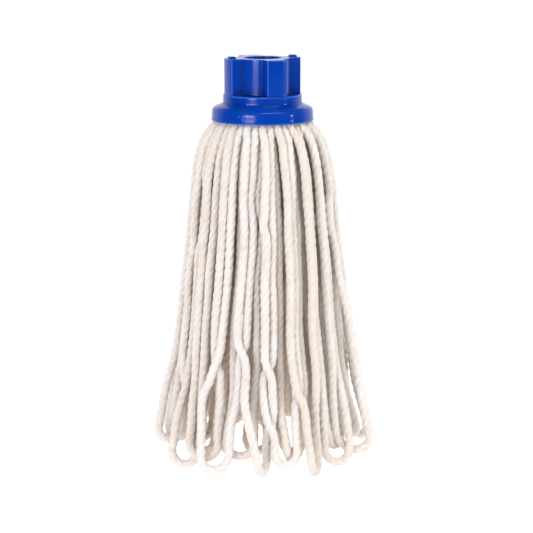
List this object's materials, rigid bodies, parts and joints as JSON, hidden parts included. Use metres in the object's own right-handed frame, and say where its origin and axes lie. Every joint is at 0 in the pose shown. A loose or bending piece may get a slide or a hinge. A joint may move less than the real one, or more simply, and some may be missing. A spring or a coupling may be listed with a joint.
{
  "type": "string mop head",
  "caption": "Looped cotton string mop head with a lobed plastic socket for a round handle and an inner yarn clamp; its yarn tufts swing outward.",
  "frame": {"origin": "centre of the handle bore's mouth, on the socket's flat top", "axes": "+Z along the handle bore, out of its mouth and up the handle; the yarn hangs towards -Z. +X towards one of the two lobes that hold a snap leg of the clamp"},
  "size_m": [0.145, 0.1431, 0.2776],
  "materials": {
    "socket_plastic": "gloss",
    "clamp_plastic": "satin",
    "cotton_twine": "matte"
  },
  "bodies": {
    "root": {"socket": "socket_plastic", "yarn_clamp": "clamp_plastic", "yarn_fold": "cotton_twine"},
    "tuft_01": {"tuft_01_front_loop": "cotton_twine", "tuft_01_back_loop": "cotton_twine", "tuft_01_middle_loop": "cotton_twine", "tuft_01_inner_loop": "cotton_twine"},
    "tuft_02": {"tuft_02_front_loop": "cotton_twine", "tuft_02_back_loop": "cotton_twine", "tuft_02_middle_loop": "cotton_twine", "tuft_02_inner_loop": "cotton_twine"},
    "tuft_03": {"tuft_03_front_loop": "cotton_twine", "tuft_03_back_loop": "cotton_twine", "tuft_03_middle_loop": "cotton_twine", "tuft_03_inner_loop": "cotton_twine"},
    "tuft_04": {"tuft_04_front_loop": "cotton_twine", "tuft_04_back_loop": "cotton_twine", "tuft_04_middle_loop": "cotton_twine", "tuft_04_inner_loop": "cotton_twine"},
    "tuft_05": {"tuft_05_front_loop": "cotton_twine", "tuft_05_back_loop": "cotton_twine", "tuft_05_middle_loop": "cotton_twine", "tuft_05_inner_loop": "cotton_twine"},
    "tuft_06": {"tuft_06_front_loop": "cotton_twine", "tuft_06_back_loop": "cotton_twine", "tuft_06_middle_loop": "cotton_twine", "tuft_06_inner_loop": "cotton_twine"},
    "tuft_07": {"tuft_07_front_loop": "cotton_twine", "tuft_07_back_loop": "cotton_twine", "tuft_07_middle_loop": "cotton_twine", "tuft_07_inner_loop": "cotton_twine"},
    "tuft_08": {"tuft_08_front_loop": "cotton_twine", "tuft_08_back_loop": "cotton_twine", "tuft_08_middle_loop": "cotton_twine", "tuft_08_inner_loop": "cotton_twine"},
    "tuft_09": {"tuft_09_front_loop": "cotton_twine", "tuft_09_back_loop": "cotton_twine", "tuft_09_middle_loop": "cotton_twine", "tuft_09_inner_loop": "cotton_twine"},
    "tuft_10": {"tuft_10_front_loop": "cotton_twine", "tuft_10_back_loop": "cotton_twine", "tuft_10_middle_loop": "cotton_twine", "tuft_10_inner_loop": "cotton_twine"}
  },
  "joints": [
    {"name": "tuft_01_swing", "type": "hinge", "parent": "root", "child": "tuft_01", "pos_m": [0.03234, 0.01051, -0.0433], "axis": [0.309, -0.9511, 0], "range_deg": [0, 60]},
    {"name": "tuft_02_swing", "type": "hinge", "parent": "root", "child": "tuft_02", "pos_m": [0.01998, 0.02751, -0.0433], "axis": [0.809, -0.5878, 0], "range_deg": [0, 60]},
    {"name": "tuft_03_swing", "type": "hinge", "parent": "root", "child": "tuft_03", "pos_m": [0, 0.034, -0.0433], "axis": [1, 0, 0], "range_deg": [0, 60]},
    {"name": "tuft_04_swing", "type": "hinge", "parent": "root", "child": "tuft_04", "pos_m": [-0.01998, 0.02751, -0.0433], "axis": [0.809, 0.5878, 0], "range_deg": [0, 60]},
    {"name": "tuft_05_swing", "type": "hinge", "parent": "root", "child": "tuft_05", "pos_m": [-0.03234, 0.01051, -0.0433], "axis": [0.309, 0.9511, 0], "range_deg": [0, 60]},
    {"name": "tuft_06_swing", "type": "hinge", "parent": "root", "child": "tuft_06", "pos_m": [-0.03234, -0.01051, -0.0433], "axis": [-0.309, 0.9511, 0], "range_deg": [0, 60]},
    {"name": "tuft_07_swing", "type": "hinge", "parent": "root", "child": "tuft_07", "pos_m": [-0.01998, -0.02751, -0.0433], "axis": [-0.809, 0.5878, 0], "range_deg": [0, 60]},
    {"name": "tuft_08_swing", "type": "hinge", "parent": "root", "child": "tuft_08", "pos_m": [0, -0.034, -0.0433], "axis": [-1, 0, 0], "range_deg": [0, 60]},
    {"name": "tuft_09_swing", "type": "hinge", "parent": "root", "child": "tuft_09", "pos_m": [0.01998, -0.02751, -0.0433], "axis": [-0.809, -0.5878, 0], "range_deg": [0, 60]},
    {"name": "tuft_10_swing", "type": "hinge", "parent": "root", "child": "tuft_10", "pos_m": [0.03234, -0.01051, -0.0433], "axis": [-0.309, -0.9511, 0], "range_deg": [0, 60]}
  ]
}
